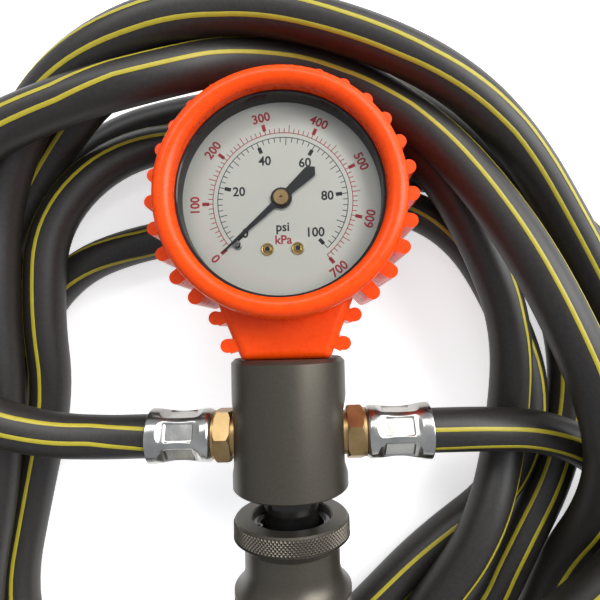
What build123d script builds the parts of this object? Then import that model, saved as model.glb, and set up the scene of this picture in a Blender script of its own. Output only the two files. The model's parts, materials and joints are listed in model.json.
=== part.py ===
from build123d import *
from math import acos, asin, atan, cos, degrees, pi, radians, sin, sqrt, tan
import os

# Tyre inflator and deflator: a ported body with a pressure gauge in a rubber boot on top,
# a sliding deflate valve and an air inlet below, and a hose with a clip-on chuck each side.
# It lies on its back. X is to the right, Y runs up the body to the gauge, Z comes out of the dial.
# The origin is on the inlet plug's axis, where its sealing nose begins.

# Shared clearances
gap_between_bodies = 0.3
running_fit = 0.05
seat_gap = 0.05

# Air inlet plug, from its tip upwards
plug_nose_r = 3.95
plug_nose_len = 8.0
plug_neck_r = 4.6
plug_ball_r = 5.9
plug_ball_len = 3.0
plug_shank_r = 6.0
plug_len = 21.0
plug_tip_chamfer = 0.6
plug_bore_r = 2.8
inlet_hex_af = 19.0
inlet_hex_len = 9.0
inlet_thread_r = 6.5
inlet_thread_len = 9.0
inlet_seal_t = 1.5
inlet_seal_r = 8.6

# Valve stem and sliding sleeve
stem_r = 9.0
stem_bore_r = 3.5
stem_spigot_r = 7.0
stem_spigot_len = 10.0
stem_vent_r = 1.5
stem_vent_count = 4
sleeve_r = 19.0
sleeve_len = 31.5
sleeve_rest_gap = 2.5
sleeve_waist_r = 15.5
sleeve_edge = 0.5
knurl_depth = 0.45
knurl_len = 5.2
knurl_to_waist = 3.0
waist_len = 6.6
shoulder_r = 8.5
chamber_r = 13.0
chamber_depth = 11.0
valve_gap = 9.0
o_ring_r = 1.2
o_ring_upper_depth = 13.6
o_ring_lower_depth = 27.0
circlip_depth = 1.8
circlip_t = 1.2
circlip_groove = 1.0
circlip_width = 1.6
circlip_gap = 46.0
circlip_turn = 232.0
stop_washer_t = 1.6
stop_washer_r = 10.6

# Ported body
body_r = 19.0
body_len = 42.0
body_top_edge = 1.2
body_bottom_edge = 0.6
body_bore_r = 4.0
port_drop = 25.0
port_r = 6.5
port_depth = 10.0
spot_face_x = 17.6
spot_face_r = 11.0
spot_face_slope = 54.5
gauge_port_depth = 13.0

# Hose fittings, crimped ferrules and hoses
fitting_neck_r = 7.1
fitting_neck_len = 1.4
fitting_hex_af = 16.0
fitting_hex_len = 5.2
fitting_flange_r = 7.9
fitting_flange_len = 0.9
fitting_bore_r = 2.5
tail_r = 3.9
barb_r = 4.3
barb_pitch = 4.4
barb_count = 4
ferrule_len = 24.4
ferrule_wall = 1.0
ferrule_shoulder_r = 8.7
ferrule_mid_r = 8.05
ferrule_mouth_r = 9.2
ferrule_roll = 1.6
crimp_count = 6
crimp_len = 9.0
crimp_wide = 5.2
crimp_floor_r = 7.15
crimp_slope = 2.6
crimp_turns = {"left": -10.0, "right": 10.0}
hose_r = 7.25
squeezed_hose_r = 6.0
hose_bore_r = 4.35

# Gauge
gauge_neck = 15.7
case_r = 34.3
case_back_z = -12.5
case_wall = 0.8
case_front_z = 21.9
case_lip = 3.6
case_neck_hole_r = 7.0
dial_z = 15.2
dial_t = 0.6
dial_gap = 0.3
dial_hole_r = 1.6
dial_screw_x = 4.7
dial_screw_drop = 15.8
dial_screw_r = 1.75
dial_screw_eye_r = 0.75
dial_screw_high = 0.5
stop_pin_reach = 20.0
stop_pin_lag = 4.4
stop_pin_r = 0.7
stop_pin_high = 1.9
lens_t = 1.2
lens_ring_wide = 2.5
pointer_start = 221.5
pointer_lift = 0.6
pointer_t = 0.4
pointer_reach = 24.9
pointer_tail = 14.3
pointer_hub_r = 3.3
pointer_cap_r = 2.6
pointer_cap_high = 1.0
arbor_r = 0.8
socket_stem_r = 6.5
socket_hex_af = 14.0
socket_neck_r = 5.0
socket_bore_r = 2.0
socket_block = (14.0, 13.0, 8.4)
socket_tongue_r = 6.0

# Gauge movement
gear_module = 0.28
pinion_teeth = 12
sector_teeth = 108
pressure_angle = 20.0
tooth_share = 0.40
gear_t = 1.2
gear_z = 8.6
pinion_t = 2.6
plate_t = 1.0
back_plate_z = 4.6
front_plate_z = 12.2
pillar_r = 1.5
sector_pivot_angle = 120.0
sector_travel = 30.6
spare_teeth = 6
sector_tail = 7.0
sector_boss_r = 2.2
link_t = 0.6
link_pin_r = 0.5
tube_wide = 5.0
tube_thick = 1.8
tube_wall = 0.35
tube_clear = 8.1
tube_z = 1.2
tube_start_angle = -78.0
tube_end_angle = 165.0
tip_reach_in = 3.8
pillar_places = [(9.0, -9.0), (-13.0, -7.0), (3.5, 19.0)]
plate_edge = 3.2
spring_turns = 4
spring_pitch = 0.75
spring_wide = 0.8
spring_thick = 0.14

# Rubber boot
boot_wall = 3.4
rim_half = 3.2
rim_overhang = 3.1
rim_z = 23.8
boot_back_z = -14.5
boot_back_lip = 10.7
nub_count = 30
nub_r = 2.2
nub_out = 2.75
nub_front_z = 16.5
nub_back_z = -13.5
neck_top_in = 6.3
neck_half_angle = 36.0
neck_top_half = 23.0
neck_bottom_half = 14.0
neck_front_z = 13.0
neck_side_edge = 3.0
neck_corner = 2.4
neck_hollow_r = 8.6
neck_nub_front_z = 12.0
neck_nub_places = [8.5, 17.3]
neck_nub_offset = 2.3
neck_nub_tilt = 23.0

# Tyre chucks on the hose ends
chuck_r = 8.0
chuck_len = 34.0
chuck_neck_r = 6.0
chuck_mouth_r = 4.1
chuck_mouth_depth = 9.0
chuck_bore_r = 2.5
chuck_seal_t = 3.0
chuck_slot_wide = 4.6
hook_slot_len = 5.0
lever_t = 4.0
lever_pin_r = 1.5
lever_pivot_back = 14.0
lever_pivot_high = 10.4
lever_hub_r = 2.7
lever_swing = 14.0

# Coil of both hoses, with the table at coil_floor_z
coil_clear = 0.5
lower_inner = ((-15.0, 90.0), (92.0, 66.0))
lower_outer = ((7.0, 95.0), (139.0, 143.0))
lower_corner = ((-58.0, 26.0), 66.0)
upper_inner = ((-2.0, 103.5), (90.0, 111.0))
upper_outer = ((-4.0, 99.0), (128.0, 139.0))
upper_from_y = 38.0
upper_height = 47.0
coil_edge = 5.0
left_lead_points = [
    (0.0, 0.0, 0.0),
    (-11.5, 0.1, 1.0),
    (-27.5, 2.0, 6.0),
    (-44.5, 8.5, 12.5),
    (-59.0, 20.5, 17.5),
]
right_lead_points = [
    (0.0, 0.0, 0.0),
    (14.0, 0.0, -0.5),
    (32.5, -1.5, -4.5),
    (50.5, -7.5, -10.0),
    (65.5, -18.5, -15.5),
]

# Places that follow from the sizes above
inlet_top = plug_len + inlet_hex_len
stem_bottom = inlet_top + inlet_seal_t
sleeve_bottom = stem_bottom + sleeve_rest_gap
sleeve_top = sleeve_bottom + sleeve_len
body_bottom = sleeve_top + valve_gap
body_top = body_bottom + body_len
port_y = body_top - port_drop
gauge_y = body_top + gauge_neck + case_r
stem_vent_y = sleeve_top - chamber_depth + stem_vent_r + 1.0
dial_r = case_r - case_wall - dial_gap
case_bore_r = case_r - case_wall - seat_gap
case_lip_r = case_r - case_lip
lens_ring_r = case_bore_r - lens_ring_wide
tube_r = case_r - tube_clear
hose_exit = spot_face_x + fitting_neck_len + fitting_hex_len + fitting_flange_len + ferrule_len
coil_top_of_lower = -body_r - coil_clear
coil_floor_z = coil_top_of_lower - 2 * hose_r

unit_axis = Axis((0, 0, 0), (0, 1, 0))
gauge_axis = Axis((0, gauge_y, 0), (0, 0, 1))
gauge_section = Plane(origin=(0, gauge_y, 0), x_dir=(1, 0, 0), z_dir=(0, -1, 0))
port_axis = Axis((0, port_y, 0), (1, 0, 0))

os.makedirs("parts", exist_ok=True)


def save(part, label):
    part.label = label
    export_step(part, f"parts/{label}.step")


def at_gauge(z):
    return Plane((0, gauge_y, z))


def gauge_radial(angle):
    """A plane through the gauge's axis, with local x out along the angle and local y along Z."""
    turn = radians(angle)
    return Plane(origin=(0, gauge_y, 0), x_dir=(cos(turn), sin(turn), 0), z_dir=(sin(turn), -cos(turn), 0))


def across(y):
    """A plane square to the unit's axis, facing up it, with local x along X."""
    return Plane(origin=(0, y, 0), x_dir=(1, 0, 0), z_dir=(0, 1, 0))


def outward(side, x, y=0.0):
    """A plane square to the ports' axis, facing out on the given side."""
    return Plane(origin=(side * x, port_y + y, 0), x_dir=(0, 1, 0), z_dir=(side, 0, 0))


def turned_hex(start, across_flats, length, turn=0.0, edge=0.8):
    """Adds a hexagon bar on the plane, with its corners turned off at both ends."""
    corner_r = across_flats / 2 / cos(pi / 6)
    with BuildSketch(start) as flats:
        RegularPolygon(across_flats / 2, 6, major_radius=False, rotation=turn)
    extrude(flats.sketch, amount=length)
    blank = Solid.make_cylinder(corner_r, length)
    blank = blank.chamfer(edge, None, blank.edges().filter_by(GeomType.CIRCLE))
    add(start.location * blank, mode=Mode.INTERSECT)


def bend_radii(points):
    """The largest arc that each corner's two runs allow."""
    spots = [Vector(*point) for point in points]
    radii = []
    for before, corner, after in zip(spots, spots[1:], spots[2:]):
        turn = radians((corner - before).get_angle(after - corner))
        shorter = min((corner - before).length, (after - corner).length)
        radii.append(0.45 * shorter / tan(turn / 2))
    return radii


def hose_tube(name, points):
    """Adds a plain round hose along straight runs joined by arcs."""
    radii = bend_radii(points)
    print(name, "bend radii", [round(radius, 1) for radius in radii])
    with BuildLine() as route:
        path = FilletPolyline(*points, radius=radii)
    with BuildSketch(Plane(origin=path @ 0, z_dir=path % 0)) as section:
        Circle(hose_r)
    sweep(section.sketch, path=route.wire())
    return path.length


# Body: one turned bar with a spot face at each side port
with BuildPart() as manifold_body:
    with BuildSketch(across(body_bottom)):
        Circle(body_r)
    extrude(amount=body_len)
    chamfer(manifold_body.faces().sort_by(Axis.Y)[-1].edges(), body_top_edge)
    chamfer(manifold_body.faces().sort_by(Axis.Y)[0].edges(), body_bottom_edge)
    for side in (-1, 1):
        with BuildSketch(outward(side, spot_face_x)):
            Circle(spot_face_r)
        extrude(amount=body_r - spot_face_x + 1.0, taper=-spot_face_slope, mode=Mode.SUBTRACT)
        with BuildSketch(outward(side, spot_face_x)):
            Circle(port_r + seat_gap)
        extrude(amount=-port_depth, mode=Mode.SUBTRACT)
    with BuildSketch(outward(1, -spot_face_x)):
        Circle(fitting_bore_r)
    extrude(amount=2 * spot_face_x, mode=Mode.SUBTRACT)
    with BuildSketch(across(body_bottom)):
        Circle(stem_spigot_r + seat_gap)
    extrude(amount=stem_spigot_len + seat_gap, mode=Mode.SUBTRACT)
    with BuildSketch(across(body_bottom)):
        Circle(body_bore_r)
    extrude(amount=body_len, mode=Mode.SUBTRACT)
    with BuildSketch(across(body_top)):
        Circle(socket_stem_r + seat_gap)
    extrude(amount=-gauge_port_depth, mode=Mode.SUBTRACT)
save(manifold_body.part, "manifold_body")

# Valve stem: a black tube that screws into the body and carries the sleeve
stem_groove_y = body_bottom + stem_spigot_len / 2
stem_ring_r = stem_spigot_r + seat_gap - o_ring_r
stem_groove_r = stem_ring_r - o_ring_r - seat_gap
stem_thread_top = stem_bottom + inlet_thread_len + 1.0
with BuildPart() as valve_stem:
    with BuildSketch():
        with BuildLine():
            Polyline(
                (inlet_thread_r + seat_gap, stem_bottom),
                (stem_r - sleeve_edge, stem_bottom),
                (stem_r, stem_bottom + sleeve_edge),
                (stem_r, body_bottom),
                (stem_spigot_r, body_bottom),
                (stem_spigot_r, stem_groove_y - o_ring_r - seat_gap),
                (stem_groove_r, stem_groove_y - o_ring_r - seat_gap),
                (stem_groove_r, stem_groove_y + o_ring_r + seat_gap),
                (stem_spigot_r, stem_groove_y + o_ring_r + seat_gap),
                (stem_spigot_r, body_bottom + stem_spigot_len - sleeve_edge),
                (stem_spigot_r - sleeve_edge, body_bottom + stem_spigot_len),
                (stem_bore_r, body_bottom + stem_spigot_len),
                (stem_bore_r, stem_thread_top + inlet_thread_r - stem_bore_r),
                (inlet_thread_r + seat_gap, stem_thread_top),
                close=True,
            )
        make_face()
    revolve(axis=unit_axis)
    for turn in range(stem_vent_count):
        angle = radians(45 + 360 / stem_vent_count * turn)
        vent = Plane(origin=(0, stem_vent_y, 0), x_dir=(0, 1, 0), z_dir=(sin(angle), 0, cos(angle)))
        with BuildSketch(vent):
            Circle(stem_vent_r)
        extrude(amount=stem_r + 1.0, mode=Mode.SUBTRACT)
save(valve_stem.part, "valve_stem")


def o_ring(mid_r, y):
    with BuildPart() as ring:
        with BuildSketch():
            with Locations((mid_r, y)):
                Circle(o_ring_r)
        revolve(axis=unit_axis)
    return ring.part


save(o_ring(stem_ring_r, stem_groove_y), "stem_o_ring")

# Inlet: a quick-coupling plug with a hexagon, screwed up into the stem
with BuildPart() as inlet_fitting:
    turned_hex(across(plug_len), inlet_hex_af, inlet_hex_len, turn=30)
    with BuildSketch():
        with BuildLine():
            Polyline(
                (0, -plug_tip_chamfer),
                (plug_nose_r - plug_tip_chamfer, -plug_tip_chamfer),
                (plug_nose_r, 0),
                (plug_nose_r, plug_nose_len),
                (plug_ball_r, plug_nose_len + plug_ball_r - plug_nose_r),
                (plug_ball_r, plug_nose_len + plug_ball_r - plug_nose_r + plug_ball_len),
                (plug_neck_r, plug_nose_len + 2 * plug_ball_r - plug_nose_r - plug_neck_r + plug_ball_len),
                (plug_neck_r, plug_len - 3.0),
                (plug_shank_r, plug_len - 2.0),
                (plug_shank_r, plug_len),
                (inlet_thread_r, plug_len),
                (inlet_thread_r, inlet_top + inlet_seal_t + inlet_thread_len),
                (0, inlet_top + inlet_seal_t + inlet_thread_len),
                close=True,
            )
        make_face()
    revolve(axis=unit_axis)
    with BuildSketch(across(-plug_tip_chamfer)):
        Circle(plug_bore_r)
    extrude(amount=stem_thread_top, mode=Mode.SUBTRACT)
save(inlet_fitting.part, "inlet_fitting")

with BuildPart() as inlet_seal:
    with BuildSketch(across(inlet_top)):
        Circle(inlet_seal_r)
        Circle(inlet_thread_r + seat_gap, mode=Mode.SUBTRACT)
    extrude(amount=inlet_seal_t)
save(inlet_seal.part, "inlet_seal")

# Sliding sleeve: a spool with two knurled rings, sealed on the stem by two O-rings
slide_r = stem_r + running_fit
sleeve_ring_r = slide_r + o_ring_r
o_ring_groove_r = sleeve_ring_r + o_ring_r + seat_gap
upper_ring_y = sleeve_top - o_ring_upper_depth
lower_ring_y = sleeve_top - o_ring_lower_depth
groove_half = o_ring_r + seat_gap
knurl_r = sleeve_r - knurl_depth
upper_knurl_end = sleeve_edge + knurl_len
waist_start = upper_knurl_end + knurl_to_waist
waist_end = waist_start + waist_len
shoulder_run = sqrt(shoulder_r**2 - (sleeve_waist_r + shoulder_r - sleeve_r) ** 2)
lower_ring_start = waist_end + shoulder_run
shoulder_mid = acos((sleeve_waist_r + shoulder_r - sleeve_r) / shoulder_r) / 2
step_depth = circlip_depth + circlip_t + stop_washer_t
chamber_step_r = chamber_r - 1.0
with BuildPart() as valve_sleeve:
    with BuildSketch():
        with BuildLine():
            Polyline(
                (sleeve_waist_r, sleeve_top - waist_end),
                (sleeve_waist_r, sleeve_top - waist_start),
                (sleeve_r, sleeve_top - upper_knurl_end),
                (knurl_r, sleeve_top - upper_knurl_end),
                (knurl_r, sleeve_top - sleeve_edge),
                (knurl_r - sleeve_edge, sleeve_top),
                (chamber_r + sleeve_edge, sleeve_top),
                (chamber_r, sleeve_top - sleeve_edge),
                (chamber_r, sleeve_top - circlip_depth),
                (chamber_r + circlip_groove, sleeve_top - circlip_depth),
                (chamber_r + circlip_groove, sleeve_top - circlip_depth - circlip_t),
                (chamber_r, sleeve_top - circlip_depth - circlip_t),
                (chamber_r, sleeve_top - step_depth),
                (chamber_step_r, sleeve_top - step_depth),
                (chamber_step_r, sleeve_top - chamber_depth),
                (slide_r, sleeve_top - chamber_depth),
                (slide_r, upper_ring_y + groove_half),
                (o_ring_groove_r, upper_ring_y + groove_half),
                (o_ring_groove_r, upper_ring_y - groove_half),
                (slide_r, upper_ring_y - groove_half),
                (slide_r, lower_ring_y + groove_half),
                (o_ring_groove_r, lower_ring_y + groove_half),
                (o_ring_groove_r, lower_ring_y - groove_half),
                (slide_r, lower_ring_y - groove_half),
                (slide_r, sleeve_bottom),
                (sleeve_r - sleeve_edge, sleeve_bottom),
                (sleeve_r, sleeve_bottom + sleeve_edge),
                (knurl_r, sleeve_bottom + sleeve_edge),
                (knurl_r, sleeve_top - lower_ring_start - sleeve_edge),
                (sleeve_r, sleeve_top - lower_ring_start - sleeve_edge),
                (sleeve_r, sleeve_top - lower_ring_start),
            )
            ThreePointArc(
                (sleeve_r, sleeve_top - lower_ring_start),
                (
                    sleeve_waist_r + shoulder_r - shoulder_r * cos(shoulder_mid),
                    sleeve_top - waist_end - shoulder_r * sin(shoulder_mid),
                ),
                (sleeve_waist_r, sleeve_top - waist_end),
            )
        make_face()
    revolve(axis=unit_axis)
save(valve_sleeve.part, "valve_sleeve")
save(o_ring(sleeve_ring_r, upper_ring_y), "sleeve_upper_o_ring")
save(o_ring(sleeve_ring_r, lower_ring_y), "sleeve_lower_o_ring")

# Circlip with two eyes, and the stop washer that it holds in the sleeve
circlip_r = chamber_r + circlip_groove - seat_gap
circlip_eye_r = 1.5
with BuildPart() as sleeve_circlip:
    with BuildSketch(across(sleeve_top - circlip_depth)):
        Circle(circlip_r)
        Circle(chamber_r - circlip_width, mode=Mode.SUBTRACT)
        with PolarLocations(0, 1, start_angle=circlip_turn):
            with Locations((circlip_r / 2 + 3.0, 0)):
                Rectangle(circlip_r, 2 * circlip_r * sin(radians(circlip_gap / 2)), mode=Mode.SUBTRACT)
        for eye_angle in (circlip_turn - circlip_gap / 2 - 5.0, circlip_turn + circlip_gap / 2 + 5.0):
            with PolarLocations(chamber_r - circlip_eye_r, 1, start_angle=eye_angle):
                Circle(circlip_eye_r)
                Circle(circlip_eye_r / 2, mode=Mode.SUBTRACT)
    extrude(amount=-(circlip_t - seat_gap))
save(sleeve_circlip.part, "sleeve_circlip")

with BuildPart() as stop_washer:
    with BuildSketch(across(sleeve_top - circlip_depth - circlip_t)):
        Circle(chamber_r - seat_gap)
        Circle(stop_washer_r, mode=Mode.SUBTRACT)
    extrude(amount=-stop_washer_t)
save(stop_washer.part, "sleeve_stop_washer")


# Hose fittings: brass, with a hexagon, a thin flange and a barbed tail
fitting_front = spot_face_x + fitting_neck_len
fitting_shoulder = fitting_front + fitting_hex_len
fitting_face = fitting_shoulder + fitting_flange_len
barb_start = fitting_face + 2.4
sides = {"left": -1, "right": 1}
hex_turns = {"left": 30.0, "right": 10.0}


def barbed_tail(section, start, axis):
    """Adds a tail with sloping barbs, turned about the axis, from the start outwards."""
    points = [(0, start), (tail_r, start)]
    points += [(tail_r, start + barb_start - fitting_face)]
    for barb in range(barb_count):
        root = start + barb_start - fitting_face + barb * barb_pitch
        points += [(barb_r, root), (barb_r, root + 0.6), (tail_r, root + barb_pitch)]
    points += [(0, start + barb_start - fitting_face + barb_count * barb_pitch)]
    with BuildSketch(section) as profile:
        with BuildLine():
            Polyline(*points, close=True)
        make_face()
    revolve(profile.sketch, axis=axis)


def port_profile(side):
    """A section plane whose local x is the radius and whose local y runs out of the port."""
    return Plane(origin=(0, port_y, 0), x_dir=(0, 1, 0), z_dir=(0, 0, -side))


for name, side in sides.items():
    with BuildPart() as hose_fitting:
        turned_hex(outward(side, fitting_front), fitting_hex_af, fitting_hex_len, turn=hex_turns[name])
        with BuildSketch(port_profile(side)):
            with BuildLine():
                Polyline(
                    (0, spot_face_x - port_depth + seat_gap),
                    (port_r, spot_face_x - port_depth + seat_gap),
                    (port_r, spot_face_x),
                    (fitting_neck_r, spot_face_x),
                    (fitting_neck_r, fitting_shoulder),
                    (fitting_flange_r, fitting_shoulder),
                    (fitting_flange_r, fitting_face),
                    (0, fitting_face),
                    close=True,
                )
            make_face()
        revolve(axis=port_axis)
        barbed_tail(port_profile(side), fitting_face, port_axis)
        with BuildSketch(outward(side, spot_face_x - port_depth)):
            Circle(fitting_bore_r)
        extrude(amount=hose_exit, mode=Mode.SUBTRACT)
    save(hose_fitting.part, f"{name}_hose_fitting")


# Ferrule: a zinc-plated cup, rolled at the back, belled at the mouth and crimped on six flats.
# It is built along +Z from its back face, and then set in its place.
def crimped_ferrule():
    inner_r = squeezed_hose_r + seat_gap
    with BuildPart() as ferrule:
        with BuildSketch(Plane.XZ):
            with BuildLine():
                outer = Spline(
                    (ferrule_shoulder_r, ferrule_roll),
                    (ferrule_mid_r + 0.15, ferrule_len * 0.3),
                    (ferrule_mid_r, ferrule_len * 0.55),
                    (ferrule_mid_r + 0.3, ferrule_len * 0.8),
                    (ferrule_mouth_r, ferrule_len - 0.4),
                    tangents=((-0.1, 1), (0.8, 1)),
                )
                lip = Line(outer @ 1, (ferrule_mouth_r - 0.3, ferrule_len))
                mouth = Line(lip @ 1, (inner_r + 0.9, ferrule_len - 1.6))
                bell = Line(mouth @ 1, (inner_r, ferrule_len - 4.0))
                wall = Line(bell @ 1, (inner_r, ferrule_wall))
                back = Polyline(
                    wall @ 1,
                    (tail_r + seat_gap, ferrule_wall),
                    (tail_r + seat_gap, 0),
                    (ferrule_shoulder_r - ferrule_roll, 0),
                )
                roll_mid = ferrule_roll * (1 - sin(pi / 4))
                ThreePointArc(
                    back @ 1,
                    (ferrule_shoulder_r - roll_mid, roll_mid),
                    outer @ 0,
                )
            make_face()
        revolve(axis=Axis.Z)
        with PolarLocations(0, crimp_count):
            middle = (crimp_floor_r, 0, ferrule_len / 2 + 0.4)
            pocket = Plane(origin=middle, x_dir=(0, 0, 1), z_dir=(1, 0, 0))
            with BuildSketch(pocket):
                RectangleRounded(crimp_len, crimp_wide, 0.6)
            extrude(amount=3.0, taper=-degrees(atan(crimp_slope / 1.9)), mode=Mode.SUBTRACT)
    return ferrule.part


ferrule_blank = crimped_ferrule()
for name, side in sides.items():
    seat = outward(side, fitting_face)
    save(seat.location * Rotation(0, 0, crimp_turns[name]) * ferrule_blank, f"{name}_ferrule")

# Hose leads: the squeezed end in the ferrule, then the free hose to the coil
lead_routes = {
    "left": [(-hose_exit + x, port_y + y, z) for x, y, z in left_lead_points],
    "right": [(hose_exit + x, port_y + y, z) for x, y, z in right_lead_points],
}
hose_start = fitting_face + ferrule_wall + seat_gap
for name, side in sides.items():
    with BuildPart() as hose_lead:
        hose_tube(f"{name} hose lead", lead_routes[name])
        with BuildSketch(outward(side, hose_start)):
            Circle(squeezed_hose_r)
        extrude(amount=hose_exit - hose_start)
        with BuildSketch(outward(side, hose_start)):
            Circle(hose_bore_r)
        extrude(amount=barb_count * barb_pitch + barb_start - fitting_face, mode=Mode.SUBTRACT)
    save(hose_lead.part, f"{name}_hose_lead")

# Gauge socket: the brass stem in the body, with its hexagon, and the block inside the case
block_wide, block_high, block_deep = socket_block
case_bottom_y = gauge_y - case_r
block_top_y = case_bottom_y + case_wall + 3.0 + block_high
hex_top_y = case_bottom_y - 1.0
post_y = gauge_y - dial_screw_drop
block_front_z = block_deep / 2
with BuildPart() as gauge_socket:
    turned_hex(across(body_top), socket_hex_af, hex_top_y - body_top, edge=0.6)
    with BuildSketch(across(body_top - gauge_port_depth + 1.0)):
        Circle(socket_stem_r)
    extrude(amount=gauge_port_depth - 1.0)
    with BuildSketch(across(hex_top_y)):
        Circle(socket_neck_r)
    extrude(amount=block_top_y - block_high - hex_top_y)
    with BuildSketch(across(block_top_y - block_high)):
        Rectangle(block_wide, block_deep)
    extrude(amount=block_high)
    with BuildSketch(Plane((0, block_top_y - 2.0, back_plate_z - 3.0))):
        with Locations((0, 4.0)):
            RectangleRounded(2 * socket_tongue_r, 2 * socket_tongue_r, 2.0)
    extrude(amount=3.0)
    with BuildSketch(Plane((0, post_y, back_plate_z - 3.0))):
        with Locations((-dial_screw_x, 0), (dial_screw_x, 0)):
            Circle(dial_screw_r)
    extrude(amount=dial_z - dial_t - back_plate_z + 3.0)
    with BuildSketch(Plane((0, post_y, dial_z - dial_t))):
        with Locations((-dial_screw_x, 0), (dial_screw_x, 0)):
            Circle(dial_screw_eye_r + seat_gap)
    extrude(amount=-4.0, mode=Mode.SUBTRACT)
    with BuildSketch(across(body_top - gauge_port_depth)):
        Circle(socket_bore_r)
    extrude(amount=block_top_y - body_top + gauge_port_depth - 4.0, mode=Mode.SUBTRACT)
    # Slot that the end of the tube is soldered into
    with BuildSketch(gauge_radial(tube_start_angle - 0.2)):
        with Locations((tube_r, tube_z)):
            Rectangle(tube_thick + 2 * seat_gap, tube_wide + 2 * seat_gap)
    revolve(axis=gauge_axis, revolution_arc=30, mode=Mode.SUBTRACT)
save(gauge_socket.part, "gauge_socket")

# Gauge case: a drawn steel cup with its front edge rolled in over the lens
lens_top = case_front_z - case_wall - seat_gap
lens_back = lens_top - lens_t
with BuildPart() as gauge_case:
    with BuildSketch(gauge_section):
        with BuildLine():
            Polyline(
                (0, case_back_z),
                (case_r - 1.5, case_back_z),
                (case_r, case_back_z + 1.5),
                (case_r, case_front_z - 0.6),
                (case_r - 0.6, case_front_z),
                (case_lip_r + 0.3, case_front_z),
                (case_lip_r, case_front_z - 0.3),
                (case_lip_r, case_front_z - case_wall),
                (case_r - case_wall, case_front_z - case_wall),
                (case_r - case_wall, case_back_z + 1.5),
                (case_r - case_wall - 0.7, case_back_z + case_wall),
                (0, case_back_z + case_wall),
                close=True,
            )
        make_face()
    revolve(axis=gauge_axis)
    with BuildSketch(across(case_bottom_y - 1.0)):
        Circle(socket_neck_r + seat_gap)
    extrude(amount=4.0, mode=Mode.SUBTRACT)
save(gauge_case.part, "gauge_case")

# Dial, its two hollow screws and the pointer's stop pin
stop_angle = radians(pointer_start + stop_pin_lag)
stop_place = (stop_pin_reach * cos(stop_angle), stop_pin_reach * sin(stop_angle))
screw_places = [(-dial_screw_x, -dial_screw_drop), (dial_screw_x, -dial_screw_drop)]
with BuildPart() as dial_plate:
    with BuildSketch(at_gauge(dial_z - dial_t)):
        Circle(dial_r)
        Circle(dial_hole_r, mode=Mode.SUBTRACT)
        with Locations(*screw_places):
            Circle(dial_screw_eye_r + seat_gap, mode=Mode.SUBTRACT)
        with Locations(stop_place):
            Circle(stop_pin_r + seat_gap, mode=Mode.SUBTRACT)
    extrude(amount=dial_t)
save(dial_plate.part, "dial_plate")

with BuildPart() as dial_screws:
    with BuildSketch(at_gauge(dial_z)):
        with Locations(*screw_places):
            Circle(dial_screw_r)
    extrude(amount=dial_screw_high, taper=20)
    with BuildSketch(at_gauge(dial_z)):
        with Locations(*screw_places):
            Circle(dial_screw_eye_r)
    extrude(amount=-dial_t - 3.0)
    with BuildSketch(at_gauge(dial_z + dial_screw_high)):
        with Locations(*screw_places):
            Circle(dial_screw_eye_r * 0.8)
    extrude(amount=-0.35, mode=Mode.SUBTRACT)
save(dial_screws.part, "dial_screws")

with BuildPart() as stop_pin:
    with BuildSketch(at_gauge(dial_z - dial_t - 0.4)):
        with Locations(stop_place):
            Circle(stop_pin_r)
    extrude(amount=dial_t + 0.4 + stop_pin_high)
    with BuildSketch(at_gauge(dial_z - dial_t - 0.4)):
        with Locations(stop_place):
            Circle(stop_pin_r + 0.5)
    extrude(amount=0.4 - seat_gap)
save(stop_pin.part, "stop_pin")

# Black spacer ring between the dial and the clear lens
with BuildPart() as lens_ring:
    with BuildSketch(gauge_section):
        with BuildLine():
            Polyline(
                (lens_ring_r, dial_z + seat_gap),
                (case_bore_r, dial_z + seat_gap),
                (case_bore_r, lens_back - seat_gap),
                (lens_ring_r + 0.5, lens_back - seat_gap),
                close=True,
            )
        make_face()
    revolve(axis=gauge_axis)
save(lens_ring.part, "lens_ring")

with BuildPart() as gauge_lens:
    with BuildSketch(at_gauge(lens_back)):
        Circle(case_bore_r)
    extrude(amount=lens_t)
save(gauge_lens.part, "gauge_lens")


# Gauge movement. Gear teeth are involutes, thinned for backlash.
def involute_points(teeth, addendum, dedendum, tooth_angle):
    """One tooth's outline about the angle, from root to tip and back to root."""
    pitch_r = gear_module * teeth / 2
    base_r = pitch_r * cos(radians(pressure_angle))
    half_at_pitch = tooth_share * pi / teeth
    lead = tan(radians(pressure_angle)) - radians(pressure_angle)
    tip_r = pitch_r + addendum
    root_r = pitch_r - dedendum
    flank = []
    flank_start = max(base_r, root_r)
    for step in range(4):
        r = flank_start + (tip_r - flank_start) * step / 3
        spread = acos(min(1.0, base_r / r))
        flank.append((r, half_at_pitch + lead - (tan(spread) - spread)))
    if root_r < base_r:
        flank.insert(0, (root_r, flank[0][1]))
    outline = [(r, tooth_angle - offset) for r, offset in flank]
    outline += [(r, tooth_angle + offset) for r, offset in reversed(flank)]
    return [(r * cos(angle), r * sin(angle)) for r, angle in outline]


def gear_ring(teeth, addendum, dedendum, first_angle, count):
    points = []
    for tooth in range(count):
        points += involute_points(teeth, addendum, dedendum, first_angle + 2 * pi / teeth * tooth)
    return points


centre_distance = gear_module * (pinion_teeth + sector_teeth) / 2
pivot_angle = radians(sector_pivot_angle)
sector_pivot = (centre_distance * cos(pivot_angle), centre_distance * sin(pivot_angle))
mesh_angle = pivot_angle + pi
front_plate_top = front_plate_z + plate_t
arbor_clear = arbor_r + running_fit

# Two brass plates on pillars carry the arbors of the pinion and the sector
plate_spots = pillar_places + [sector_pivot, (0, 0), (0, -10.4)]


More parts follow.
